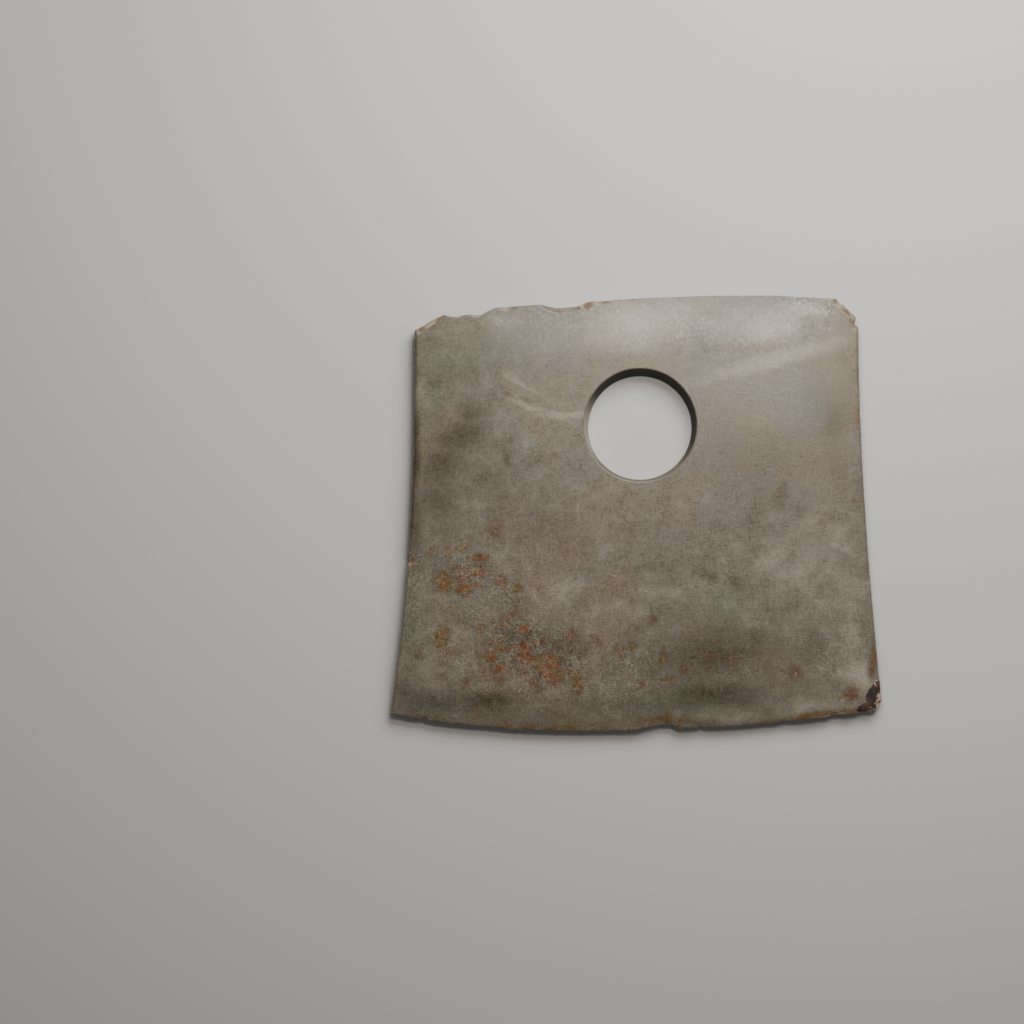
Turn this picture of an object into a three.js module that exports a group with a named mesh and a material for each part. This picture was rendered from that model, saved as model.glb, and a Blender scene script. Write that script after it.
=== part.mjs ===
// A perforated jade axe head: one flat slab of stone with a large drilled hole near the butt,
// a convex cutting edge ground from both faces, and old breaks round its rim.
// Millimetres. It lies on its back face: +X runs along the cutting edge, +Y towards the butt, +Z up.
// The origin is the centre of the bounding box's base.
import * as THREE from "three";

// Thickness of the slab, and how it thins from the flat middle towards each side of the outline.
const THICKNESS = 7.5;
const MID_Z = THICKNESS / 2;
const EDGE_THICKNESS = 1.0;
const SIDE_THINNING = { reach: 34, drop: 1.1 };
const BUTT_THINNING = { reach: 20, drop: 0.8 };
const BLADE_THINNING = { reach: 43, drop: 0.9 };
const BEVEL_WIDTH = 12;

// The unbroken outline. Each side is a level line that sweeps away from its apex by `drop` at `reach`.
const CUTTING_EDGE = {
  level: -72.5,
  apex: -13,
  left: { reach: 68.5, drop: 5.8, power: 2.4 },
  right: { reach: 94, drop: 7.0, power: 2 },
};
const BUTT = {
  level: 72.5,
  apex: 38,
  flat: 7,
  left: { reach: 104.6, drop: 6.2, power: 1.44 },
  right: { reach: 29, drop: 1.43, power: 1.1 },
};
const FLARE_START = 60;
const LEFT_SIDE = { level: 73.75, flare: { reach: 126, drop: 8.0, power: 2.55 } };
const RIGHT_SIDE = { level: 74.05, flare: { reach: 126, drop: 8.15, power: 1.7 } };

// Corners of the unbroken outline, where its four sides meet.
const CORNERS = {
  edgeLeft: { x: -81.8, y: -66.6 },
  edgeRight: { x: 82.0, y: -65.5 },
  buttRight: { x: 74.0, y: 71.1 },
  buttLeft: { x: -73.75, y: 66.3 },
};

// The hole, drilled from the front with a tube that leaned a little and wore narrower as it went.
const HOLE = { x: 1.3, y: 29.4, frontRadius: 18.7, backRadius: 17.2, leanX: 0.1, leanY: -0.85 };
const HOLE_LIP = 0.35;

// Rounding of the rim between each face and the side wall, and along the thin cutting edge.
const RIM = { inset: 0.9, drop: 0.8 };
const EDGE_RIM = { inset: 0.4, drop: 0.2 };
const SCAR_SLOPE = 1.1;

// Chips bitten out of a side, from one place along it to another, with the length of each sloping end.
// `scar` is how much further the flake runs in over the front face.
const CHIPS = [
  { side: "butt", from: -32.8, to: -15, ends: [7, 5.5], depth: 1.55, scar: 0.9 },
  { side: "butt", from: -15.5, to: -3, ends: [3, 7], depth: 0.15, scar: 0.9 },
  { side: "butt", from: -68, to: -46.5, ends: [7, 5], depth: 1.6, scar: 0.2 },
  { side: "butt", from: -61.8, to: -57.3, ends: [2.2, 2.2], depth: 0.5, scar: 0 },
  { side: "butt", from: -55.5, to: -50, ends: [2.5, 2], depth: 0.35, scar: 0 },
  { side: "right", from: 61.9, to: 70, ends: [1, 3], depth: 0.9, scar: 0.5 },
  { side: "right", from: 62.5, to: 64.3, ends: [0.8, 0.8], depth: 0.4, scar: 0.4 },
  { side: "left", from: -17.2, to: -13, ends: [1.6, 1], depth: 0.3, scar: 0.8 },
  { side: "edge", from: -1, to: 15, ends: [10, 3.6], depth: 1.5, scar: 0 },
  { side: "edge", from: -4, to: 30, ends: [8, 8], depth: 0.35, scar: 0 },
  { side: "edge", from: 20.3, to: 23.2, ends: [1.2, 1.5], depth: 0.45, scar: 0 },
  { side: "edge", from: -72, to: -69.3, ends: [1, 1.3], depth: 0.4, scar: 0 },
  { side: "edge", from: -57, to: -40, ends: [6, 6], depth: 0.25, scar: 0 },
  { side: "edge", from: 47, to: 52.6, ends: [2, 2.5], depth: 0.35, scar: 0 },
  { side: "edge", from: 63.5, to: 68.5, ends: [2, 2.5], depth: 0.45, scar: 0.3 },
  { side: "edge", from: 73.3, to: 76.8, ends: [1.5, 1.5], depth: 0.3, scar: 0.4 },
];

// Corners broken off along a straight line, from a point on one side to a point on the next, anticlockwise.
const BROKEN_CORNERS = [
  { sides: ["edge", "right"], start: [79.3, -65.8], stop: [81.8, -62.8], scar: 0.6 },
  { sides: ["right", "butt"], start: [73.7, 65.2], stop: [66.3, 71.6], scar: 1.0 },
  { sides: ["butt", "left"], start: [-63.9, 66.4], stop: [-73.8, 60.9], scar: 0.8 },
].map(({ sides, start, stop, scar }) => ({
  sides,
  start: new THREE.Vector2(...start),
  stop: new THREE.Vector2(...stop),
  scar,
}));

// Mesh density: the step between stations along the rim, and the insets of the rings on each face.
const STATION_STEP = 5;
const MIN_STATION_GAP = 0.55;
const RING_INSETS = [0, 3, 7.5, BEVEL_WIDTH, 22, 34, 43];
const FULL_INSET_SPAN = 50;
const HOLE_WALL_DEPTHS = [0.5];

const STONE_COLOUR = 0x8a8775;
const STONE_ROUGHNESS = 0.42;

function sweep(distance, { reach, drop, power }) {
  return drop * (Math.max(distance, 0) / reach) ** power;
}

// The unbroken sides as functions of the coordinate that runs along them.
const SIDE_LINES = {
  edge: (x) =>
    CUTTING_EDGE.level +
    sweep(CUTTING_EDGE.apex - x, CUTTING_EDGE.left) +
    sweep(x - CUTTING_EDGE.apex, CUTTING_EDGE.right),
  butt: (x) =>
    BUTT.level -
    sweep(BUTT.apex - BUTT.flat - x, BUTT.left) -
    sweep(x - BUTT.apex - BUTT.flat, BUTT.right),
  left: (y) => -LEFT_SIDE.level - sweep(FLARE_START - y, LEFT_SIDE.flare),
  right: (y) => RIGHT_SIDE.level + sweep(FLARE_START - y, RIGHT_SIDE.flare),
};

// How far a point lies in from each unbroken side.
const DEPTH_FROM = {
  edge: ({ x, y }) => y - SIDE_LINES.edge(x),
  butt: ({ x, y }) => SIDE_LINES.butt(x) - y,
  left: ({ x, y }) => x - SIDE_LINES.left(y),
  right: ({ x, y }) => SIDE_LINES.right(y) - x,
};

function thinned(depth, { reach, drop }) {
  return drop * Math.max(1 - Math.max(depth, 0) / reach, 0) ** 2;
}

// Half the slab's thickness at a point of its plan: a flat middle, thinner sides and butt, a bevelled blade.
function halfThickness(point) {
  const edgeDepth = Math.max(DEPTH_FROM.edge(point), 0);
  const slab =
    MID_Z -
    thinned(DEPTH_FROM.left(point), SIDE_THINNING) -
    thinned(DEPTH_FROM.right(point), SIDE_THINNING) -
    thinned(DEPTH_FROM.butt(point), BUTT_THINNING) -
    thinned(edgeDepth, BLADE_THINNING);
  const acrossBevel = Math.min(edgeDepth / BEVEL_WIDTH, 1);
  return THREE.MathUtils.lerp(EDGE_THICKNESS / 2, slab, acrossBevel);
}

// How much of a chip's full depth is gone at a place along its side: 0 outside it, 1 on its floor.
function chipShare({ from, to, ends }, along) {
  const share = Math.min((along - from) / ends[0], (to - along) / ends[1]);
  return THREE.MathUtils.smoothstep(share, 0, 1);
}

// One station of the broken rim: where the rim is, and how far the rounding or a scar runs in from it.
function station(side, along) {
  const runsAlongX = side === "edge" || side === "butt";
  const inward = side === "edge" || side === "left" ? 1 : -1;
  const chips = CHIPS.filter((chip) => chip.side === side);
  const sum = (size) => chips.reduce((total, chip) => total + chip[size] * chipShare(chip, along), 0);
  const across = SIDE_LINES[side](along) + inward * sum("depth");
  return {
    side,
    point: runsAlongX ? new THREE.Vector2(along, across) : new THREE.Vector2(across, along),
    scar: sum("scar"),
  };
}

// Where a point lies along a side.
function alongSide(side, { x, y }) {
  return side === "edge" || side === "butt" ? x : y;
}

// The places along one side that get a station: even steps, and the ends of each chip, its floor and each break.
function placesAlong(side, start, stop) {
  const count = Math.ceil(Math.abs(stop - start) / STATION_STEP);
  const places = Array.from({ length: count }, (_, i) => start + ((stop - start) * i) / count);
  for (const { from, to, ends } of CHIPS.filter((chip) => chip.side === side))
    places.push(from, from + ends[0] / 2, from + ends[0], to - ends[1], to - ends[1] / 2, to);
  for (const { sides, start: first, stop: last } of BROKEN_CORNERS) {
    if (sides[0] === side) places.push(alongSide(side, first));
    if (sides[1] === side) places.push(alongSide(side, last));
  }
  const [low, high] = [Math.min(start, stop), Math.max(start, stop)];
  const ordered = places.filter((place) => place >= low && place <= high).sort((a, b) => a - b);
  if (stop < start) ordered.reverse();
  return ordered.filter((place, i) => i === 0 || Math.abs(place - ordered[i - 1]) > MIN_STATION_GAP);
}

// Moves a station that lies beyond a broken corner back to the line of the break, towards the hole.
function breakCorners(rimStation) {
  const centre = new THREE.Vector2(HOLE.x, HOLE.y);
  for (const { start, stop, scar } of BROKEN_CORNERS) {
    const line = stop.clone().sub(start);
    const outside = (point) => -line.cross(point.clone().sub(start));
    const beyond = outside(rimStation.point);
    if (beyond <= 0) continue;
    const share = beyond / (beyond - outside(centre));
    rimStation.point.lerp(centre, share);
    rimStation.scar += scar;
  }
  return rimStation;
}

// The whole rim, anticlockwise from the left end of the cutting edge.
function rimStations() {
  const { edgeLeft, edgeRight, buttRight, buttLeft } = CORNERS;
  const sides = [
    ["edge", edgeLeft.x, edgeRight.x],
    ["right", edgeRight.y, buttRight.y],
    ["butt", buttRight.x, buttLeft.x],
    ["left", buttLeft.y, edgeLeft.y],
  ];
  const stations = sides.flatMap(([side, start, stop]) =>
    placesAlong(side, start, stop).map((along) => breakCorners(station(side, along))),
  );
  return stations.filter(
    ({ point }, i) => point.distanceTo(stations.at(i - 1).point) > MIN_STATION_GAP,
  );
}

// The hole's centre and radius at a height above the back face.
function holeAt(z) {
  const depth = 1 - z / THICKNESS;
  return {
    x: HOLE.x + HOLE.leanX * depth,
    y: HOLE.y + HOLE.leanY * depth,
    radius: THREE.MathUtils.lerp(HOLE.frontRadius, HOLE.backRadius, depth),
  };
}

function holePoint(angle, z, widening = 0) {
  const { x, y, radius } = holeAt(z);
  return new THREE.Vector3(
    x + (radius + widening) * Math.cos(angle),
    y + (radius + widening) * Math.sin(angle),
    z,
  );
}

// The points of one face at a station, from the rim's rounding in to the hole. `up` is 1 on the front, -1 on the back.
function facePoints({ side, point, scar }, up) {
  const centre = new THREE.Vector2(HOLE.x, HOLE.y);
  const toHole = centre.clone().sub(point);
  const span = side === "edge" || side === "butt" ? Math.abs(toHole.y) : Math.abs(toHole.x);
  const angle = Math.atan2(-toHole.y, -toHole.x);
  const mouthRadius = HOLE.frontRadius + HOLE_LIP;
  const spanToHole = span * (1 - mouthRadius / toHole.length());
  const scale = Math.min(spanToHole / FULL_INSET_SPAN, 1);
  const rounding = side === "edge" ? EDGE_RIM : RIM;
  const firstInset = rounding.inset + (up > 0 ? scar : 0);
  const points = RING_INSETS.map((inset) => {
    const plan = point.clone().lerp(centre, (firstInset + inset * scale) / span);
    return new THREE.Vector3(plan.x, plan.y, MID_Z + up * halfThickness(plan));
  });
  points.push(holePoint(angle, MID_Z + up * MID_Z, HOLE_LIP));
  return { points, angle, rounding };
}

// One closed loop over the slab's section at a station: in over the front face, down the hole, out over the back.
function sectionLoop(rimStation) {
  const front = facePoints(rimStation, 1);
  const back = facePoints(rimStation, -1);
  const { point, scar } = rimStation;
  const { drop } = front.rounding;
  const shoulder = front.points[0].z - drop - scar * SCAR_SLOPE;
  const foot = back.points[0].z + drop;
  const wall = HOLE_WALL_DEPTHS.map((share) => holePoint(front.angle, THICKNESS * (1 - share)));
  return [
    new THREE.Vector3(point.x, point.y, Math.max(shoulder, foot + EDGE_RIM.drop)),
    ...front.points,
    holePoint(front.angle, THICKNESS - HOLE_LIP),
    ...wall,
    holePoint(front.angle, HOLE_LIP),
    ...back.points.reverse(),
    new THREE.Vector3(point.x, point.y, foot),
  ];
}

// Joins the section loops of neighbouring stations into one closed surface.
function slabGeometry() {
  const loops = rimStations().map(sectionLoop);
  const size = loops[0].length;
  const positions = loops.flat().flatMap((point) => point.toArray());
  const indices = [];
  loops.forEach((_, i) => {
    const here = i * size;
    const next = ((i + 1) % loops.length) * size;
    for (let j = 0; j < size; j++) {
      const k = (j + 1) % size;
      indices.push(here + j, next + j, next + k, here + j, next + k, here + k);
    }
  });
  const geometry = new THREE.BufferGeometry();
  geometry.setAttribute("position", new THREE.Float32BufferAttribute(positions, 3));
  geometry.setIndex(indices);
  geometry.computeVertexNormals();
  return geometry;
}

const jade = new THREE.MeshStandardMaterial({
  color: STONE_COLOUR,
  roughness: STONE_ROUGHNESS,
  metalness: 0,
});
const axeHead = new THREE.Mesh(slabGeometry(), jade);
axeHead.name = "axe_head";

const part = new THREE.Group();
part.add(axeHead);

export default part;
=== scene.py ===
"""The finish of a perforated jade axe head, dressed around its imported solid.

One fine mesh replaces the solid's node. It has the same outline, hole, bevel and breaks, and adds the small
chips, the waviness of the polish and the rough skin of the breaks. The scene is in metres, in the solid's own
frame, and the tables below are in millimetres.
"""
import math

import bpy
import numpy as np
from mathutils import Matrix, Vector, kdtree, noise


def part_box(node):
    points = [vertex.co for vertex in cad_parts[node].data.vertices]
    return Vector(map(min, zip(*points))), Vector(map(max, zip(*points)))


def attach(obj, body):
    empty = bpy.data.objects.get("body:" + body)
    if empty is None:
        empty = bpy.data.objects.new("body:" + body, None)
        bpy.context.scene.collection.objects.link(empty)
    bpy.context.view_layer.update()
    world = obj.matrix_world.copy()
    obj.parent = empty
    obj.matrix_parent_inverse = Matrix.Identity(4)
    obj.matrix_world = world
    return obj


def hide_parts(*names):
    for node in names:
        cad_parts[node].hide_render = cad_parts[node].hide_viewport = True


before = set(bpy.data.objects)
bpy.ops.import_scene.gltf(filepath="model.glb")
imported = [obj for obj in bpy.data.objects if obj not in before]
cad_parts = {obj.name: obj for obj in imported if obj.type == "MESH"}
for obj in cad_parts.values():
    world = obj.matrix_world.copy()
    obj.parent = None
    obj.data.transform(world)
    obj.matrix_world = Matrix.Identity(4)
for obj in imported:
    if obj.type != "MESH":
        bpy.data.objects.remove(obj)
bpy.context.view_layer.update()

MM = 0.001
NODE = "axe_head"
SEED = 7

# ================================================================ the form, as the solid has it

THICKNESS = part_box(NODE)[1][2] / MM
MID_Z = THICKNESS / 2
EDGE_HALF = 0.5
SIDE_THINNING = {"reach": 34, "drop": 1.1}
BUTT_THINNING = {"reach": 20, "drop": 0.8}
BLADE_THINNING = {"reach": 43, "drop": 0.9}
BEVEL_WIDTH = 12
BEVEL_BLEND = 0.3

CUTTING_EDGE = {
    "level": -72.5,
    "apex": -13,
    "left": {"reach": 68.5, "drop": 5.8, "power": 2.4},
    "right": {"reach": 94, "drop": 7.0, "power": 2},
}
BUTT = {
    "level": 72.5,
    "apex": 38,
    "flat": 7,
    "left": {"reach": 104.6, "drop": 6.2, "power": 1.44},
    "right": {"reach": 29, "drop": 1.43, "power": 1.1},
}
FLARE_START = 60
LEFT_SIDE = {"level": 73.75, "flare": {"reach": 126, "drop": 8.0, "power": 2.55}}
RIGHT_SIDE = {"level": 74.05, "flare": {"reach": 126, "drop": 8.15, "power": 1.7}}

# Each side with the stretch of it between its corners, anticlockwise from the left end of the cutting edge.
SIDES = {
    "edge": (-81.8, 82.0),
    "right": (-65.5, 71.1),
    "butt": (74.0, -73.75),
    "left": (66.3, -66.6),
}
INWARD = {"edge": 1, "right": -1, "butt": -1, "left": 1}

HOLE = {"x": 1.3, "y": 29.4, "front_radius": 18.7, "back_radius": 17.2, "lean": (0.1, -0.85)}
HOLE_LIP = 0.35
HOLE_CENTRE = np.array([HOLE["x"], HOLE["y"]])

# How far in from the rim each side's rounding starts, and how far the face falls there.
ROUNDING = {
    "edge": {"inset": 0.4, "drop": 0.2},
    "right": {"inset": 0.8, "drop": 0.7},
    "butt": {"inset": 0.35, "drop": 0.3},
    "left": {"inset": 0.8, "drop": 0.7},
}

# Chips bitten out of a side: from and to along it, the length of each sloping end, and the depth.
CHIPS = [
    ("butt", -32.8, -15, (7, 5.5), 1.55),
    ("butt", -15.5, -3, (3, 7), 0.15),
    ("butt", -68, -46.5, (7, 5), 1.6),
    ("butt", -61.8, -57.3, (2.2, 2.2), 0.5),
    ("butt", -55.5, -50, (2.5, 2), 0.35),
    ("right", 61.9, 70, (1, 3), 0.9),
    ("right", 62.5, 64.3, (0.8, 0.8), 0.4),
    ("left", -17.2, -13, (1.6, 1), 0.3),
    ("edge", -1, 15, (10, 3.6), 1.5),
    ("edge", -4, 30, (8, 8), 0.35),
    ("edge", 20.3, 23.2, (1.2, 1.5), 0.45),
    ("edge", -72, -69.3, (1, 1.3), 0.4),
    ("edge", -57, -40, (6, 6), 0.25),
    ("edge", 47, 52.6, (2, 2.5), 0.35),
    ("edge", 63.5, 68.5, (2, 2.5), 0.45),
    ("edge", 73.3, 76.8, (1.5, 1.5), 0.3),
]
# Corners broken off along a line from one side to the next.
BROKEN_CORNERS = [
    ((79.3, -65.8), (81.8, -62.8)),
    ((73.7, 65.2), (66.3, 71.6)),
    ((-63.9, 66.4), (-73.8, 60.9)),
]

# ================================================================ finer form, added here

# Stations round the rim, the spacing of the samples that they are picked from, the depth from which a sample
# counts as bitten, and how much closer the stations sit there.
STATIONS = 820
RIM_SAMPLE = 0.2
BITTEN = 0.02
CHIP_DENSITY = 2.2
# The rays from the rim to the hole leave the rim aslant, so each inset is this much longer along them.
RAY_SLANT = 1.12
# The rings of each face: insets from the rim, rings across the middle, and gaps left before the mouth of the
# hole.
FRONT_RINGS = {
    "insets": [0, 0.12, 0.25, 0.42, 0.65, 0.9, 1.2, 1.6, 2.1, 2.7, 3.5, 4.5, 6, 8, 10.5, 13.5],
    "middle": 60,
    "gaps": [2.5, 1.5, 0.9, 0.5, 0.3, 0.15, 0],
}
BACK_RINGS = {
    "insets": [0, 0.15, 0.4, 0.8, 1.3, 2.1, 3.5, 6, 9, 13.5],
    "middle": 5,
    "gaps": [2, 0.9, 0.3, 0],
}
WALL_ROWS = 8
BAND_ROWS = [0.2, 0.5, 0.8]
BAND_BULGE = 0.12

# Flakes struck off the upper rim: side, place along it, half its length, reach over the face, depth at the
# rim, and how fresh the scar still looks, 0 to 1.
FLAKES = [
    ("butt", -24.5, 7.5, 1.5, 1.5, 0.2),
    ("butt", -17.0, 2.6, 1.8, 1.4, 0.9),
    ("butt", -12.0, 4.5, 1.1, 0.9, 0.7),
    ("butt", -4.5, 4.0, 0.7, 0.6, 0.3),
    ("butt", -43.0, 2.6, 1.2, 0.7, 0.4),
    ("butt", -52.0, 3.4, 0.7, 0.6, 0.6),
    ("butt", -60.0, 2.8, 0.6, 0.5, 0.6),
    ("butt", 62.0, 5.5, 0.5, 0.5, 0.5),
    ("right", 66.0, 4.2, 1.5, 1.5, 0.8),
    ("right", 63.3, 1.4, 1.3, 1.5, 0.9),
    ("right", 61.2, 1.6, 0.6, 0.5, 0.6),
    ("left", -15.6, 2.3, 2.1, 1.2, 1.0),
    ("left", -11.8, 1.0, 0.7, 0.5, 0.6),
    ("edge", 9.5, 5.5, 1.1, 0.5, 0.4),
    ("edge", 21.8, 2.0, 1.0, 0.5, 0.5),
    ("edge", 66.0, 3.2, 1.2, 0.5, 0.6),
    ("edge", 75.5, 2.5, 1.0, 0.5, 0.7),
    ("edge", -70.6, 1.6, 0.8, 0.4, 0.5),
]
BREAK_FLAKE = {"reach": 1.5, "depth": 1.3}
# Tiny flakes round both rims: how many, the chance of each side in the order of SIDES, and the range of each
# measure of a flake.
SMALL_FLAKES = {
    "count": 150,
    "chances": [0.4, 0.2, 0.2, 0.2],
    "half": (0.4, 1.5),
    "reach": (0.25, 0.7),
    "depth": (0.1, 0.35),
    "fresh": (0, 0.5),
}
# The least half thickness that flakes leave, and how far past the slab's middle they may cut the front, as a
# share of it.
LEAST_HALF = 0.8
LEAST_HALF_AT_EDGE = 0.12
PAST_MIDDLE = 0.35
# How round each face falls over the rim: near 0 for a shallow curve, near 1 for a quarter circle.
ROUNDNESS = 0.96

# Layers of noise: how far each moves the surface, the size of its features, and its seed.
SOFT_RIM = [(0.07, 9, 1), (0.035, 2.2, 2)]
BROKEN_RIM = [(0.28, 2.4, 3), (0.12, 0.9, 4)]
BREAK_SKIN = [(0.16, 0.9, 6), (0.1, 0.4, 7)]
EDGE_NICKS = {"depth": 0.3, "size": 1.5, "seed": 5, "from": 0.42, "to": 0.75}
WAVINESS = {"depth": 0.12, "size": 26, "seed": 8, "from": 1, "to": 12}
SEED_SPACING = 17.3
FIELD_SEED = 20


# ================================================================ where the stone's markings are

# Markings of the front face: x, y, half width, half height, turn, strength.
DARK_CLOUDS = [
    (-58, 25, 8, 5, 25, 1.0),
    (-54, 34, 5.5, 4, 0, 0.7),
    (-65, 16, 7, 5, 30, 0.85),
    (-43, 19, 3, 4, 0, 0.7),
    (-48, 12, 12, 8, 0, 0.45),
    (-34, -4, 22, 11, 0, 0.42),
    (-36, -18, 14, 5, 0, 0.35),
    (-66, 4, 7, 5, 0, 0.6),
    # The next two strips along the left rim are partly the stone's darker border and partly painted shade
    # that darkens the rim and its side.
    (-74, -2, 2.5, 24, 0, 0.7),
    (-75, 30, 2.2, 40, 1, 1.2),
    (-43, -27, 6, 4.5, -30, 0.65),
    (-57, -35, 6, 3.5, -10, 0.5),
    (-48, -62, 8, 4, 0, 0.85),
    (-68, -62, 9, 3, 5, 0.6),
    (-37, -43, 13, 8, -15, 0.8),
    (-25, -46, 9, 8, 0, 0.75),
    (-22, -40, 4, 4, 0, 0.5),
    (27, -47, 20, 9, 0, 0.8),
    (40, -42, 7, 4, 0, 0.7),
    (25, -59, 12, 4, 0, 0.8),
    (5, -52, 8, 6, 0, 0.6),
    (56, -44, 9, 6, 0, 0.5),
    (24, -21, 4, 2.5, -10, 0.85),
    (33, -22, 3, 5, 30, 0.7),
    (31, -4, 5, 7, 0, 0.2),
    (23, 53.5, 5.5, 3, 0, 0.75),
    (17, 58, 4, 4, 0, 0.6),
    (56, 62, 5, 3, 0, 0.65),
    (68, 52, 3, 2, 0, 0.5),
    (65, 31, 7, 10, 0, 0.6),
    (67, 14, 5, 12, 0, 0.5),
    (48, 6, 3, 5, 0, 0.7),
    (42, 18, 26, 18, 0, 0.5),
    (0, -6, 20, 5, 0, 0.3),
    (-5, -48, 10, 8, 0, 0.5),
    (5, -19, 12, 2, 4, 0.5),
]
# The light clouds along the top, at y 60 and over, are partly the stone's paler tone and partly painted
# light, a share of the top's sheen put into the colour.
LIGHT_CLOUDS = [
    (-2, 62, 12, 8, 10, 1.1),
    (9, 66, 13, 5, 0, 0.9),
    (31, 64, 9, 6, 0, 0.5),
    (47, 63, 9, 5, 15, 0.6),
    (57, 68, 8, 3, 0, 0.7),
    (69, -22, 8, 16, 0, 0.6),
    (72, -42, 5, 9, 0, 0.6),
    (75, -55, 6, 5, -20, 1.4),
    (70, -60, 6, 4, 0, 1.0),
    (-24, 60, 10, 6, 0, 0.5),
    (-46, 64, 9, 3, 0, 0.5),
    (-26, -25, 8, 5, 0, 0.6),
    (12, -26, 14, 4, 0, 0.5),
    (-8, -32, 12, 5, 0, 0.5),
    (55, -18, 16, 10, 0, 0.6),
    (60, -33, 10, 5, 0, 0.45),
    (38, -35, 5, 4, 0, 0.5),
    (-68, -30, 9, 8, 0, 0.4),
    (-71, -52, 6, 8, 0, 0.55),
    (58, -62.5, 18, 4.5, 10, 0.85),
    (32, -67, 16, 2.5, 3, 0.8),
    (10, -62, 6, 4, 0, 0.4),
    (-70, 40, 6, 10, 0, 0.5),
    (-38, -64, 6, 4, 0, 0.5),
]
FROSTED = [
    (46, 63, 9, 4.5, 15, 1.0),
    (56, 68.5, 9, 2.5, -4, 1.0),
    (0, 65, 12, 6, 0, 0.5),
    (32, 64, 10, 6, 0, 0.5),
    (62, 62, 6, 5, 0, 0.5),
    (-44, 64, 8, 3, -10, 0.5),
    (-74, -16, 2, 2, 0, 0.5),
]
LIGHT_BANDS = [
    (46, 51, 25, 2.8, 15, 1.2),
    (-25, 32.8, 7.5, 1.1, 2, 1.5),
    (-36.5, 36, 8, 1.1, -20, 1.2),
    (-24, 36.5, 7, 2.0, -12, 0.7),
    (-38, 43, 10, 1.3, -30, 0.9),
]
VEINED = [
    (-55, -36, 26, 26, 0, 1.0),
    (-32, -52, 24, 14, 0, 1.0),
    (-8, -56, 16, 12, 0, 1.0),
    (-62, 22, 10, 12, 0, 0.35),
    (46, 63, 15, 6, 0, 1.0),
    (28, -20, 12, 8, 0, 0.5),
    (-14, -22, 14, 6, 0, 0.5),
    (36, -52, 26, 12, 0, 0.45),
    (66, -44, 12, 14, 0, 0.7),
    (46, 32, 12, 10, 0, 0.5),
]
RUST_STAINS = [
    (-52.5, -14.8, 3.0, 1.1, 0, 1.0),
    (-52, -18, 1.6, 1.0, 0, 0.9),
    (-58, -18.3, 3.0, 0.9, 5, 0.8),
    (-54, -20.3, 5.0, 1.0, 3, 0.9),
    (-58, -22, 2.2, 1.5, 0, 0.8),
    (-67.5, -12.5, 1.3, 1.8, 0, 0.8),
    (-37.5, -38.3, 1.8, 1.4, 0, 1.0),
    (-41.5, -34, 3.0, 1.4, 10, 0.7),
    (-22, -40.5, 2.0, 1.8, 0, 0.8),
    (-44.5, -45.3, 2.0, 1.0, 0, 1.0),
    (-47.5, -43, 1.5, 1.0, 0, 0.9),
    (-48, -47.7, 2.0, 1.6, 0, 1.0),
    (-45, -51.6, 2.8, 1.6, 0, 1.0),
    (-38, -44.6, 3.4, 1.0, 0, 1.0),
    (-36.5, -48.2, 4.2, 1.6, -10, 1.0),
    (-33, -42.6, 4.0, 0.9, 0, 0.8),
    (-29, -47.6, 3.2, 1.0, 0, 0.9),
    (-29, -50.6, 3.6, 1.4, 0, 1.0),
    (-28.5, -53.4, 4.0, 1.6, -5, 1.0),
    (-27, -56, 2.2, 1.2, 0, 0.9),
    (-34, -56.5, 1.8, 1.6, 0, 0.9),
    (-47, -5.5, 2.2, 2.8, 0, 0.6),
    (72, -61, 2.6, 1.6, 30, 0.5),
    (69.5, -58, 1.6, 1.3, 0, 0.55),
]
OCHRE_STAINS = [
    (-64, -23, 2.8, 2.4, -40, 1.0),
    (-25, -46, 9, 8, 0, 0.3),
    (-38, -47, 10, 8, 0, 0.25),
    (-10, -54, 10, 8, 0, 0.15),
    (-57.5, -25, 2.4, 1.8, 0, 0.9),
    (-53, -24, 3.0, 1.1, -10, 0.8),
    (-58, -11.5, 2.4, 1.3, 0, 0.8),
    (-62.5, -12.5, 1.0, 2.6, 0, 0.7),
    (-45, -22.5, 1.7, 1.6, 0, 0.8),
    (-39.5, -25, 1.4, 1.2, 0, 0.7),
    (-32, -25, 1.1, 2.0, 0, 0.5),
    (-43.5, -36.8, 2.2, 1.5, 0, 0.7),
    (-51.5, -38.5, 1.4, 1.3, 0, 0.8),
    (-64.5, -41, 1.8, 2.8, -15, 1.0),
    (-61.5, -46, 2.8, 1.8, 0, 0.6),
    (-72, -47.5, 1.8, 1.2, 0, 0.6),
    (-50, -53, 1.2, 1.6, 0, 0.8),
    (-46, -55.2, 2.0, 1.2, 0, 0.7),
    (-37.5, -52.8, 1.8, 1.1, 0, 0.8),
    (-31.5, -58.6, 2.4, 1.2, 0, 0.7),
    (-19.3, -56.5, 1.6, 3.2, 0, 0.9),
    (-23, -52.5, 2.2, 1.1, 0, 0.7),
    (-56.6, -56.5, 1.0, 2.2, 0, 0.7),
    (-65, -54, 1.8, 1.1, 0, 0.6),
    (-5.5, -46, 2.0, 1.9, 0, 0.6),
    (-13, -42, 1.6, 1.4, 0, 0.6),
    (-1.2, -44, 1.6, 2.4, 0, 0.55),
    (1.5, -57, 1.6, 1.5, 0, 0.6),
    (5.5, -35.5, 1.7, 1.5, 0, 0.7),
    (9, -48, 1.4, 2.6, 0, 0.6),
    (10.5, -56, 2.8, 2.2, 0, 0.65),
    (16, -51.5, 1.0, 1.8, 0, 0.6),
    (24, -47, 3.4, 1.8, 0, 0.5),
    (32, -49, 1.8, 2.8, 0, 0.42),
    (53, -53, 2.2, 2.0, 0, 0.6),
    (48, 6.5, 1.6, 1.6, 0, 0.5),
    (71, -59.5, 3.2, 2.4, 20, 0.5),
    (78.4, -50, 1.2, 5, -5, 0.6),
]
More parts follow.
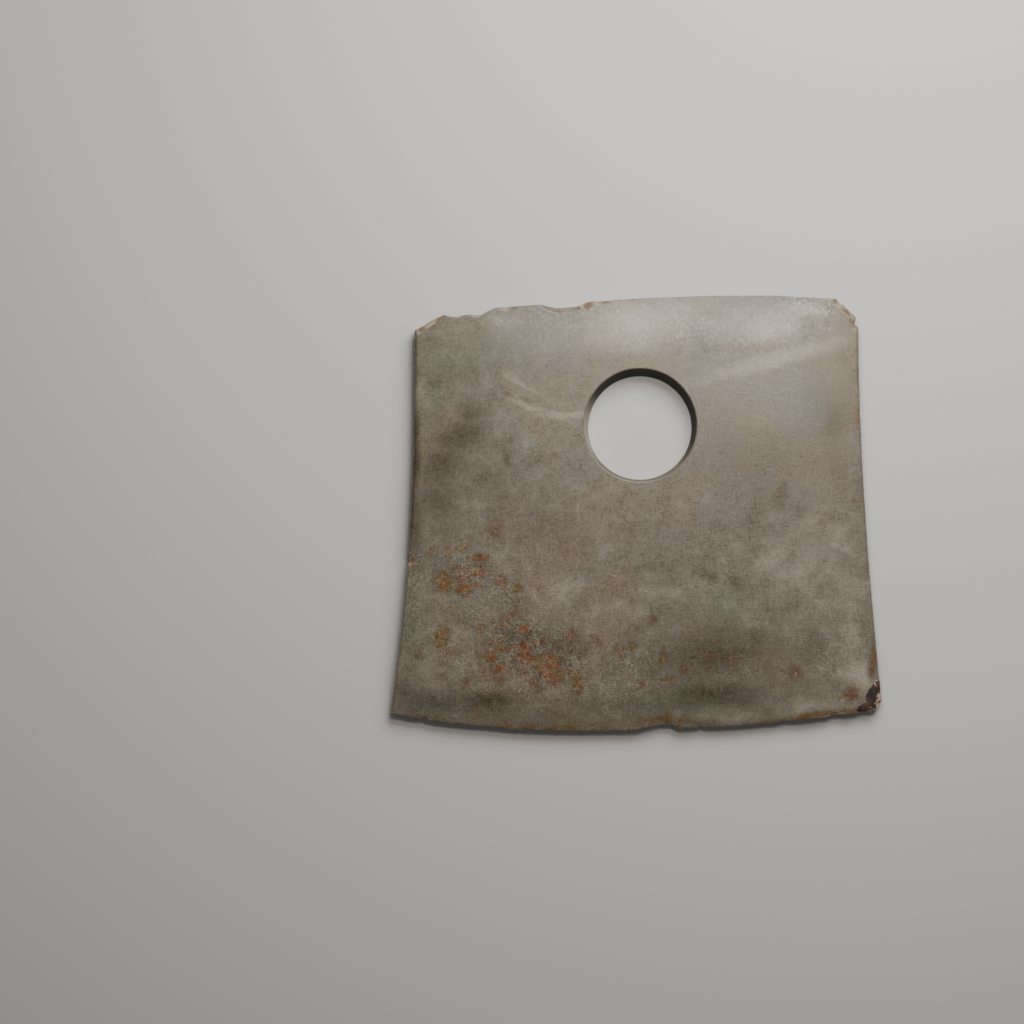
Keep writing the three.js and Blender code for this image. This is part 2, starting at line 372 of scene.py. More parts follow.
EDGE_STAINS = [
    (60, -67.4, 11, 1.5, 7, 0.85),
    (71, -60, 3.6, 2.8, 20, 0.7),
    (76, -58.5, 2.2, 3.0, -30, 0.55),
    (45, -69.3, 8, 1.1, 4, 0.6),
    (71, -66, 6, 1.2, 8, 0.8),
    (79, -49, 1.0, 6, -6, 0.55),
    (75.2, 8, 0.8, 14, -3, 0.45),
    (76.6, -20, 0.9, 8, -3, 0.5),
    (73.6, 33, 1.1, 8, 0, 0.55),
    (10, -69, 10, 2.6, 0, 0.8),
    (24, -70, 10, 1.4, 0, 0.6),
    (-34, -71.4, 26, 1.4, 0, 0.7),
    (-72, -67.4, 10, 1.2, -5, 0.6),
    (-3, 71, 12, 0.8, 3, 0.6),
]
BURNT_CORNER = [
    (79.6, -59.8, 2.4, 5.2, -28, 1.0),
    (77.0, -64.6, 3.6, 1.8, 15, 1.0),
    (81, -63, 2.4, 4, 0, 1.0),
]
SCORCHED_PALE = [
    (81.0, -62.4, 1.0, 2.6, -8, 1.0),
    (78.5, -66.2, 2.4, 0.6, 8, 0.9),
    (79.6, -57.0, 0.6, 0.8, 0, 0.8),
]
GREENISH = [
    (14, -63, 14, 4.5, 0, 1.0),
    (-71, 40, 6, 14, 0, 0.9),
    (-50, 55, 18, 7, 5, 0.8),
    (-74, -35, 5, 22, 0, 0.9),
    (46, 64, 10, 5, 0, 0.8),
    (60, -36, 12, 8, 0, 0.6),
    (-8, -60, 14, 6, 0, 0.7),
    (30, -28, 12, 7, 0, 0.6),
]
HAIRLINES = [
    (-19.4, -3, 0.2, 37, 0.3, 0.6),
    (-8.6, 8.5, 0.25, 3.6, -14, 0.8),
    (-12.8, -9.6, 0.22, 3.6, -20, 0.7),
    (-8.5, -20.6, 0.22, 9, 75, 0.6),
    (-25.2, -0.6, 0.22, 6.5, -59, 0.5),
    (-54, -46, 0.25, 11, 4, 0.7),
    (-41.5, -51.5, 0.3, 4, 35, 0.9),
    (-44, -47, 0.3, 5, 65, 0.8),
    (38, -53, 0.25, 4, 35, 0.7),
    (68, -53, 0.7, 1.2, 60, 0.9),
]
# The underside doesn't show, so its markings are fewer, in keeping with the front.
BACK_DARK_CLOUDS = [
    (40, 20, 16, 9, 20, 0.7),
    (-30, -44, 20, 8, -10, 0.7),
    (-50, 30, 9, 14, 0, 0.5),
    (30, -48, 14, 6, 5, 0.6),
]
BACK_LIGHT_CLOUDS = [
    (-10, 58, 30, 8, 4, 0.6),
    (10, -20, 18, 8, -10, 0.5),
    (-60, -10, 8, 14, 0, 0.4),
]
BACK_VEINED = [
    (30, -45, 30, 18, 0, 0.8),
    (-40, 10, 16, 12, 0, 0.4),
]
BACK_OCHRE_STAINS = [
    (28, -47, 14, 7, 5, 0.6),
    (52, -20, 8, 6, 0, 0.5),
]
BACK_EDGE_STAINS = [
    (56, -67.2, 20, 1.8, 6, 0.7),
    (-30, -71, 26, 1.6, 0, 0.5),
    (80, -50, 1.8, 8, 0, 0.6),
]

# Each kind of marking, with how far its outlines wander.
FRONT_FIELDS = {
    "dark": (DARK_CLOUDS, 3.0),
    "light": (LIGHT_CLOUDS, 3.0),
    "green": (GREENISH, 4.0),
    "frost": (FROSTED, 2.0),
    "band": (LIGHT_BANDS, 1.0),
    "veined": (VEINED, 4.0),
    "rust": (RUST_STAINS, 0.7),
    "ochre": (OCHRE_STAINS, 0.7),
    "brown": (EDGE_STAINS, 0.8),
    "burnt": (BURNT_CORNER, 0.4),
    "scorched": (SCORCHED_PALE, 0.3),
}
BACK_FIELDS = {
    "dark": (BACK_DARK_CLOUDS, 4.0),
    "light": (BACK_LIGHT_CLOUDS, 4.0),
    "green": ([], 1.0),
    "frost": ([], 1.0),
    "band": ([], 1.0),
    "veined": (BACK_VEINED, 4.0),
    "rust": ([], 1.0),
    "ochre": (BACK_OCHRE_STAINS, 2.5),
    "brown": (BACK_EDGE_STAINS, 0.8),
    "burnt": (BURNT_CORNER, 0.4),
    "scorched": (SCORCHED_PALE, 0.3),
}

# The directions, seen from above, in which the hole's wall gets painted shade and in which it gets painted
# light.
PAINTED_SHADE_SIDE = (0.45, 0.9)
PAINTED_LIGHT_SIDE = (-1.0, 0.15)


def sweep(distance, reach, drop, power):
    """How far a curve has left its straight start: nothing before it, and `drop` at `reach` past it."""
    return drop * (np.maximum(distance, 0) / reach) ** power


SIDE_LINES = {
    "edge": lambda x: CUTTING_EDGE["level"]
    + sweep(CUTTING_EDGE["apex"] - x, **CUTTING_EDGE["left"])
    + sweep(x - CUTTING_EDGE["apex"], **CUTTING_EDGE["right"]),
    "butt": lambda x: BUTT["level"]
    - sweep(BUTT["apex"] - BUTT["flat"] - x, **BUTT["left"])
    - sweep(x - BUTT["apex"] - BUTT["flat"], **BUTT["right"]),
    "left": lambda y: -LEFT_SIDE["level"] - sweep(FLARE_START - y, **LEFT_SIDE["flare"]),
    "right": lambda y: RIGHT_SIDE["level"] + sweep(FLARE_START - y, **RIGHT_SIDE["flare"]),
}


def smoothstep(value, low=0.0, high=1.0):
    """0 under `low` and 1 over `high`, with a smooth rise between them."""
    t = np.clip((value - low) / (high - low), 0, 1)
    return t * t * (3 - 2 * t)


def wobble(points, size, seed=0.0):
    """Smooth noise from -1 to 1 at each point, with features about `size` millimetres across."""
    padded = np.zeros((len(points), 3))
    padded[:, : points.shape[1]] = points
    padded = padded / size + seed * SEED_SPACING
    return np.array([noise.noise(Vector(p)) for p in padded])


def layered(points, layers):
    """Several layers of noise together, each row as in the tables above."""
    return sum(amount * wobble(points, size, seed) for amount, size, seed in layers)


def field_values(xy, fields):
    """Each field at points of the plan: 1 in the middle of its spots, 0.5 at their borders, less outside."""
    values = {}
    for number, (name, (rows, bend)) in enumerate(fields.items()):
        seed = FIELD_SEED + 2 * number
        x = xy[:, 0] + bend * wobble(xy, 4 * bend, seed)
        y = xy[:, 1] + bend * wobble(xy, 4 * bend, seed + 1)
        value = np.zeros(len(xy))
        for centre_x, centre_y, half_x, half_y, turn, strength in rows:
            cosine, sine = math.cos(math.radians(turn)), math.sin(math.radians(turn))
            along = (x - centre_x) * cosine + (y - centre_y) * sine
            across = (y - centre_y) * cosine - (x - centre_x) * sine
            radius = np.hypot(along / half_x, across / half_y)
            value = np.maximum(value, strength * np.clip(1 - 0.5 * radius, 0, 1))
        values[name] = value
    return values


def thinned(depth, reach, drop):
    """How much thinner the slab is at a depth in from a side, fading to nothing at `reach`."""
    return drop * np.maximum(1 - np.maximum(depth, 0) / reach, 0) ** 2


def smooth_minimum(a, b, blend):
    """The lower of two heights, with the corner between them rounded over `blend`."""
    share = np.clip(0.5 + (b - a) / (2 * blend), 0, 1)
    return b + (a - b) * share - blend * share * (1 - share)


def half_thickness(xy):
    """Half the slab's thickness at points of its plan: thinner at sides and butt, bevelled at the blade."""
    x, y = xy[:, 0], xy[:, 1]
    edge_depth = np.maximum(y - SIDE_LINES["edge"](x), 0)
    slab = (
        MID_Z
        - thinned(x - SIDE_LINES["left"](y), **SIDE_THINNING)
        - thinned(SIDE_LINES["right"](y) - x, **SIDE_THINNING)
        - thinned(SIDE_LINES["butt"](x) - y, **BUTT_THINNING)
        - thinned(edge_depth, **BLADE_THINNING)
    )
    bevel = EDGE_HALF + (slab - EDGE_HALF) * edge_depth / BEVEL_WIDTH
    return smooth_minimum(bevel, slab, BEVEL_BLEND)


def chip_share(along, start, stop, ends):
    """How much of a chip's depth is bitten off at places along its side, with a sloping end each way."""
    return smoothstep(np.minimum((along - start) / ends[0], (stop - along) / ends[1]))


def side_points(side):
    """One chipped side, sampled finely: its points, their places along it, and the depth bitten off there."""
    start, stop = SIDES[side]
    count = int(abs(stop - start) / RIM_SAMPLE)
    along = np.linspace(start, stop, count, endpoint=False)
    depth = np.zeros(count)
    for _, low, high, ends, chip_depth in [chip for chip in CHIPS if chip[0] == side]:
        depth += chip_depth * chip_share(along, low, high, ends)
    across = SIDE_LINES[side](along) + INWARD[side] * depth
    columns = (along, across) if side in ("edge", "butt") else (across, along)
    return np.column_stack(columns), along, depth


def beyond_break(points, start, stop):
    """How far points lie outside the line of a broken corner."""
    line = np.subtract(stop, start)
    offset = points - start
    return (line[1] * offset[:, 0] - line[0] * offset[:, 1]) / np.hypot(*line)


def rim_line():
    """The stations of the rim: points, names of their sides, places along these, and which are on a break."""
    parts = [(side, *side_points(side)) for side in SIDES]
    points = np.vstack([part[1] for part in parts])
    sides = np.concatenate([[part[0]] * len(part[1]) for part in parts])
    along = np.concatenate([part[2] for part in parts])
    bitten = np.concatenate([part[3] for part in parts])
    broken = np.zeros(len(points), bool)
    for start, stop in BROKEN_CORNERS:
        beyond = beyond_break(points, start, stop)
        centre_beyond = beyond_break(HOLE_CENTRE[None], start, stop)[0]
        share = np.maximum(beyond, 0) / (np.maximum(beyond, 0) - centre_beyond)
        points = points + (HOLE_CENTRE - points) * share[:, None]
        broken |= beyond > 0
    steps = np.hypot(*(np.roll(points, -1, axis=0) - points).T)
    steps *= np.where(broken | (bitten > BITTEN), CHIP_DENSITY, 1)
    length = np.concatenate([[0], np.cumsum(steps)])
    targets = np.linspace(0, length[-1], STATIONS, endpoint=False)
    closed = np.vstack([points, points[:1]])
    even = np.column_stack([np.interp(targets, length, closed[:, i]) for i in (0, 1)])
    nearest = np.clip(np.searchsorted(length, targets), 0, len(points) - 1)
    return even, sides[nearest], along[nearest], broken[nearest]


def roughened(points, sides, broken):
    """The rim with the unevenness of worn stone, coarser on the breaks, and nicks along the cutting edge."""
    tangent = np.roll(points, -1, axis=0) - np.roll(points, 1, axis=0)
    tangent /= np.hypot(*tangent.T)[:, None]
    outward = np.column_stack([tangent[:, 1], -tangent[:, 0]])
    nicked = wobble(points, EDGE_NICKS["size"], EDGE_NICKS["seed"])
    nicked = smoothstep(nicked, EDGE_NICKS["from"], EDGE_NICKS["to"]) * (sides == "edge")
    move = layered(points, SOFT_RIM) + np.where(broken, layered(points, BROKEN_RIM), 0)
    move = move - EDGE_NICKS["depth"] * nicked
    return points + outward * move[:, None]


class Rim:
    """The finished rim, and the distance from any point of the plan to it."""

    def __init__(self):
        points, self.sides, self.along, self.broken = rim_line()
        self.points = roughened(points, self.sides, self.broken)
        self.tree = kdtree.KDTree(len(self.points))
        for i, (x, y) in enumerate(self.points):
            self.tree.insert((x, y, 0), i)
        self.tree.balance()

    def nearest(self, xy):
        """For each point, the nearest station of the rim and the distance to the line through it."""
        index = np.array([self.tree.find((x, y, 0))[1] for x, y in xy])
        distance = np.full(len(xy), np.inf)
        for step in (-1, 1):
            start = self.points[index]
            line = self.points[(index + step) % len(self.points)] - start
            share = np.clip(((xy - start) * line).sum(1) / (line * line).sum(1), 0, 1)
            gap = np.hypot(*(xy - start - line * share[:, None]).T)
            distance = np.minimum(distance, gap)
        return index, distance


def small_flakes(rng):
    """Tiny flakes scattered round the rim, more of them along the cutting edge."""
    flakes = []
    for _ in range(SMALL_FLAKES["count"]):
        side = rng.choice(list(SIDES), p=SMALL_FLAKES["chances"])
        along = rng.uniform(min(SIDES[side]), max(SIDES[side]))
        measures = [rng.uniform(*SMALL_FLAKES[name]) for name in ("half", "reach", "depth", "fresh")]
        flakes.append((side, along, *measures))
    return flakes


def flake_cut(rim, index, inset, flakes, break_flake):
    """How deep the flakes cut the face at points near the rim, and how fresh their surface looks, 0 to 1."""
    cut = np.zeros(len(index))
    fresh = np.zeros(len(index))
    sides, along = rim.sides[index], rim.along[index]
    for side, place, half, reach, depth, freshness in flakes:
        inside = 1 - ((along - place) / half) ** 2 - (inset / reach) ** 2
        inside = np.where(sides == side, np.maximum(inside, 0), 0)
        cut = np.maximum(cut, depth * inside**0.8)
        fresh = np.maximum(fresh, smoothstep(inside, 0, 0.12) * freshness)
    if break_flake:
        inside = np.where(rim.broken[index], np.maximum(1 - inset / break_flake["reach"], 0), 0)
        cut = np.maximum(cut, break_flake["depth"] * inside)
        fresh = np.maximum(fresh, smoothstep(inside, 0, 0.15))
    return cut, fresh


def rounding_drop(inset, sides):
    """How far a face falls as it rounds over towards the rim."""
    drop = np.array([ROUNDING[side]["drop"] for side in sides])
    reach = np.array([ROUNDING[side]["inset"] for side in sides])
    share = np.clip(1 - inset / reach, 0, 1)
    return drop * (1 - np.sqrt(1 - ROUNDNESS * share**2)) / (1 - math.sqrt(1 - ROUNDNESS))


def hole_ring(angles, z):
    """Points round the hole's wall at a height above the back face."""
    depth = 1 - z / THICKNESS
    centre = HOLE_CENTRE + np.array(HOLE["lean"]) * depth
    radius = HOLE["front_radius"] + (HOLE["back_radius"] - HOLE["front_radius"]) * depth
    return centre + radius * np.column_stack([np.cos(angles), np.sin(angles)])


def face_plan(rim, layout, mouth_z):
    """The plan of one face's rings, from the rim in to the mouth of the hole, and the angle of each ray."""
    to_hole = HOLE_CENTRE - rim.points
    angles = np.arctan2(-to_hole[:, 1], -to_hole[:, 0])
    outward = np.column_stack([np.cos(angles), np.sin(angles)])
    mouth = hole_ring(angles, mouth_z) + HOLE_LIP * outward
    reach = np.hypot(*(mouth - rim.points).T)
    near_rim = [np.full(len(reach), inset * RAY_SLANT) for inset in layout["insets"]]
    near_mouth = [reach - gap for gap in layout["gaps"]]
    shares = [(i + 1) / (layout["middle"] + 1) for i in range(layout["middle"])]
    middle = [near_rim[-1] + (near_mouth[0] - near_rim[-1]) * share for share in shares]
    distances = np.array(near_rim + middle + near_mouth)
    steps = (distances / reach)[:, :, None]
    return rim.points + (mouth - rim.points) * steps, angles


def face_rings(rim, flakes, up):
    """One face as rings of points with their height, and the values that the finish reads."""
    front = up > 0
    plan, angles = face_plan(rim, FRONT_RINGS, THICKNESS) if front else face_plan(rim, BACK_RINGS, 0)
    flat = plan.reshape(-1, 2)
    index, inset = rim.nearest(flat)
    inset[: len(rim.points)] = 0
    index[: len(rim.points)] = np.arange(len(rim.points))
    cut, fresh = flake_cut(rim, index, inset, flakes, BREAK_FLAKE if front else None)
    ragged = fresh * layered(flat, BREAK_SKIN)
    half = half_thickness(flat) - rounding_drop(inset, rim.sides[index])
    waves = WAVINESS["depth"] * (0.5 + 0.5 * wobble(flat, WAVINESS["size"], WAVINESS["seed"] + up))
    waves = waves * smoothstep(inset, WAVINESS["from"], WAVINESS["to"])
    height = half - waves - cut + ragged
    least = np.where(rim.sides[index] == "edge", LEAST_HALF_AT_EDGE, LEAST_HALF)
    height = np.maximum(height, -PAST_MIDDLE * least if front else least)
    points = np.column_stack([flat, MID_Z + up * height])
    values = {"inset": inset, "fresh": fresh, **field_values(flat, FRONT_FIELDS if front else BACK_FIELDS)}
    return points.reshape(*plan.shape[:2], 3), angles, values


def wall_rings(angles):
    """The wall of the hole, from just under its front mouth to just over its back one."""
    rings = []
    for z in np.linspace(THICKNESS - HOLE_LIP, HOLE_LIP, WALL_ROWS):
        rings.append(np.column_stack([hole_ring(angles, z), np.full(len(angles), z)]))
    return np.array(rings)


def band_rings(foot, shoulder):
    """The outer wall, from the back face's rim up to the front face's rim, a little fuller in the middle."""
    inward = HOLE_CENTRE - foot[:, :2]
    outward = -inward / np.hypot(*inward.T)[:, None]
    rings = []
    for share in BAND_ROWS:
        ring = foot + (shoulder - foot) * share
        height = np.abs(shoulder[:, 2] - foot[:, 2])
        bulge = BAND_BULGE * math.sin(math.pi * share) * np.minimum(height, 1)
        ring[:, :2] += outward * bulge[:, None]
        rings.append(ring)
    return np.array(rings)


def joined_values(front, back, wall):
    """The finish's values on every ring, in the order of the rings of the mesh."""
    steps = np.linspace(0, 1, len(wall))[:, None]
    shares = np.array(BAND_ROWS)[:, None]
    joined = {}
    for name in front:
        front_rings = front[name].reshape(-1, STATIONS)
        back_rings = back[name].reshape(-1, STATIONS)
        wall_values = front_rings[-1] * (1 - steps) + back_rings[-1] * steps
        band_values = back_rings[0] * (1 - shares) + front_rings[0] * shares
        joined[name] = np.concatenate([front_rings, wall_values, back_rings[::-1], band_values])
    wall_start = front["inset"].size // STATIONS
    offset = (wall[:, :, :2] - HOLE_CENTRE) / HOLE["front_radius"]
    # On the hole's wall, painted shade on the side turned from the lamps and painted light on the side turned
    # to them.
    on_wall = {
        "wall": np.ones(offset.shape[:2]),
        "painted_shade": smoothstep(offset @ np.array(PAINTED_SHADE_SIDE), -0.4, 0.25),
        "painted_light": smoothstep(offset @ np.array(PAINTED_LIGHT_SIDE), 0.55, 0.9),
    }
    for name, values in on_wall.items():
        joined[name] = np.zeros_like(joined["inset"])
        joined[name][wall_start : wall_start + len(wall)] = values
    return joined


def axe_mesh():
    """The axe head as one closed mesh: front face, hole wall, back face and outer wall, ring after ring."""
    rng = np.random.default_rng(SEED)
    rim = Rim()
    front, angles, front_values = face_rings(rim, FLAKES + small_flakes(rng), 1)
    back, _, back_values = face_rings(rim, small_flakes(rng), -1)
    wall = wall_rings(angles)
    band = band_rings(back[0], front[0])
    rings = np.concatenate([front, wall, back[::-1], band])
    here = np.arange(rings.shape[0] * STATIONS).reshape(-1, STATIONS)
    above = np.roll(here, -1, axis=0)
    corners = [here, np.roll(here, -1, axis=1), np.roll(above, -1, axis=1), above]
    faces = np.stack(corners, axis=-1).reshape(-1, 4)
    mesh = bpy.data.meshes.new("axe_stone")
    mesh.from_pydata((rings.reshape(-1, 3) * MM).tolist(), [], faces.tolist())
    mesh.shade_smooth()
    for name, values in joined_values(front_values, back_values, wall).items():
        attribute = mesh.attributes.new(name, "FLOAT", "POINT")
        attribute.data.foreach_set("value", values.ravel().astype(np.float32))
    mesh.update()
    return mesh


# ================================================================ the stone's colours

LINEAR = 2.2


def colour(red, green, blue):
    """A colour given as 0 to 255 on a screen, as the shader needs it."""
    return (*[(channel / 255) ** LINEAR for channel in (red, green, blue)], 1)


class Graph:
    """Shorthand for a node tree: each method adds a node and gives back the socket of its result."""

    def __init__(self, tree):
        self.tree = tree

    def node(self, kind, inputs=None, **settings):
        """A new node with its settings made and its inputs plugged."""
        node = self.tree.nodes.new(kind)
        for name, value in settings.items():
            setattr(node, name, value)
        for key, value in (inputs or {}).items():
            self.plug(node.inputs[key], value)
        return node

    def plug(self, socket, value):
        """Links the socket to another one, or sets it to a plain value."""
        if isinstance(value, bpy.types.NodeSocket):
            self.tree.links.new(value, socket)
        else:
            socket.default_value = value

    def math(self, operation, a, b, c=0.0):
        """Arithmetic on numbers."""
        return self.node("ShaderNodeMath", {0: a, 1: b, 2: c}, operation=operation).outputs[0]

    def vector(self, operation, a, b):
        """Arithmetic on points or colours, where a scale is a plain number."""
        inputs = {0: a, "Scale": b} if operation == "SCALE" else {0: a, 1: b}
        return self.node("ShaderNodeVectorMath", inputs, operation=operation).outputs["Vector"]

    def noise(self, point, size, detail=3.0, roughness=0.5):
        """Cloudy noise from 0 to 1 with features about `size` millimetres across."""
        inputs = {"Vector": point, "Scale": 1 / size, "Detail": detail, "Roughness": roughness}
        return self.node("ShaderNodeTexNoise", inputs).outputs["Fac"]

    def shift(self, point, size, amount, detail=2.0):
        """The point moved about by noise, up to `amount` millimetres or so."""
        inputs = {"Vector": point, "Scale": 1 / size, "Detail": detail}
        moves = self.node("ShaderNodeTexNoise", inputs).outputs["Color"]
        centred = self.vector("SUBTRACT", moves, (0.5,) * 3)
        return self.vector("ADD", point, self.vector("MULTIPLY", centred, (2 * amount,) * 3))

    def between(self, value, low, high, out_low=0.0, out_high=1.0):
        """Smoothly from out_low to out_high as value goes from low to high."""
        inputs = {"Value": value, "From Min": low, "From Max": high, "To Min": out_low, "To Max": out_high}
        return self.node("ShaderNodeMapRange", inputs, interpolation_type="SMOOTHSTEP").outputs["Result"]

    def mix(self, share, a, b):
        """From colour a to colour b as the share goes from 0 to 1."""
        inputs = {"Factor": share, 6: a, 7: b}
        return self.node("ShaderNodeMix", inputs, data_type="RGBA").outputs[2]

    def attribute(self, name):
        """A value that the mesh carries at its points."""
        return self.node("ShaderNodeAttribute", attribute_name=name).outputs["Fac"]


def spots(graph, point, rows, softness):
    """The strongest of several ellipses at each point, 1 in the middle. A row is as in the tables above."""
    total = 0.0
    plan = graph.vector("MULTIPLY", point, (1, 1, 0))
    for x, y, half_x, half_y, turn, strength in rows:
        inputs = {"Vector": plan, "Location": (x, y, 0), "Scale": (half_x, half_y, 1)}
        inputs["Rotation"] = (0, 0, math.radians(turn))
        local = graph.node("ShaderNodeMapping", inputs, vector_type="TEXTURE").outputs["Vector"]
        ball = graph.node("ShaderNodeTexGradient", {"Vector": local}, gradient_type="SPHERICAL")
        spot = graph.between(ball.outputs["Fac"], 0.0, softness, 0.0, strength)
        total = graph.math("MAXIMUM", total, spot)
    return total


STONE_WARM = colour(114, 103, 84)
STONE_MAUVE = colour(109, 101, 89)
STONE_GREEN = colour(99, 97, 81)
STONE_DARK = colour(60, 52, 33)
STONE_LIGHT = colour(162, 153, 136)
THREAD = colour(168, 159, 138)
RUST = colour(106, 60, 27)
OCHRE = colour(108, 72, 29)
FROST = colour(196, 190, 176)
STAIN_GROUND = colour(78, 60, 37)
EDGE_BROWN = colour(104, 78, 48)
BREAK_CREAM = colour(184, 166, 136)
BREAK_TAN = colour(122, 98, 70)
BREAK_RUST = colour(130, 88, 52)
BURNT = colour(84, 60, 46)
BURNT_BLACK = colour(50, 40, 33)
BURNT_CREAM = colour(186, 158, 142)
WALL_MIDDLE = colour(104, 94, 74)
# The next two are painted light and painted shade for the hole's wall: paler where it faces the lamps, darker
# where it faces away.
WALL_PAINTED_LIGHT = colour(158, 148, 128)
WALL_PAINTED_SHADE = colour(26, 25, 17)
NEPHRITE_IOR = 1.62

# The felted fibres of the stone: direction in degrees, width and length in millimetres.
FIBRES = [(8, 0.22, 3.0), (52, 0.2, 2.6), (97, 0.22, 3.4), (141, 0.2, 2.8)]
# The long curling threads: their size, and how wide they are in the noise they follow.
THREADS = [(3.4, 0.018), (5.2, 0.013), (7.5, 0.01), (11, 0.007)]


def streaks(graph, point, rows, low, high):
    """Short thin streaks in several directions, 0 to 1."""
    total = 0.0
    for number, (turn, width, length) in enumerate(rows):
        inputs = {"Vector": point, "Location": (31 * number, 7, 0), "Scale": (length, width, 1)}
        inputs["Rotation"] = (0, 0, math.radians(turn))
        local = graph.node("ShaderNodeMapping", inputs, vector_type="TEXTURE").outputs["Vector"]
        streak = graph.between(graph.noise(local, 1, 0), low, high)
        total = graph.math("MAXIMUM", total, streak)
    return total


def cell_borders(graph, point, size, low, high):
    """Thin lines round cells about `size` millimetres across: 1 on a line, 0 away from it."""
    inputs = {"Vector": point, "Scale": 1 / size}
    texture = graph.node("ShaderNodeTexVoronoi", inputs, feature="DISTANCE_TO_EDGE")
    return graph.between(texture.outputs["Distance"], low, high, 1.0, 0.0)


def curls(graph, point, rows):
    """Long curling threads that follow the level lines of noise, 0 to 1."""
    total = 0.0
    for number, (size, width) in enumerate(rows):
        place = graph.vector("ADD", point, (53 * number, 0, 0))
        level = graph.math("ABSOLUTE", graph.math("SUBTRACT", graph.noise(place, size, 2, 0.6), 0.5), 0.0)
        total = graph.math("MAXIMUM", total, graph.between(level, 0.2 * width, width, 1.0, 0.0))
    return total


def grain(graph, point):
    """The fine woven grain of the polish, about -0.5 to 0.5."""
    upright = graph.noise(graph.vector("MULTIPLY", point, (1, 0.16, 1)), 0.5, 1)
    level = graph.noise(graph.vector("MULTIPLY", point, (0.16, 1, 1)), 0.5, 1)
    speckle = graph.noise(point, 0.45, 1, 0.9)
    woven = graph.math("MULTIPLY", graph.math("ADD", upright, level), 0.2)
    return graph.math("SUBTRACT", graph.math("ADD", woven, graph.math("MULTIPLY", speckle, 0.6)), 0.5)


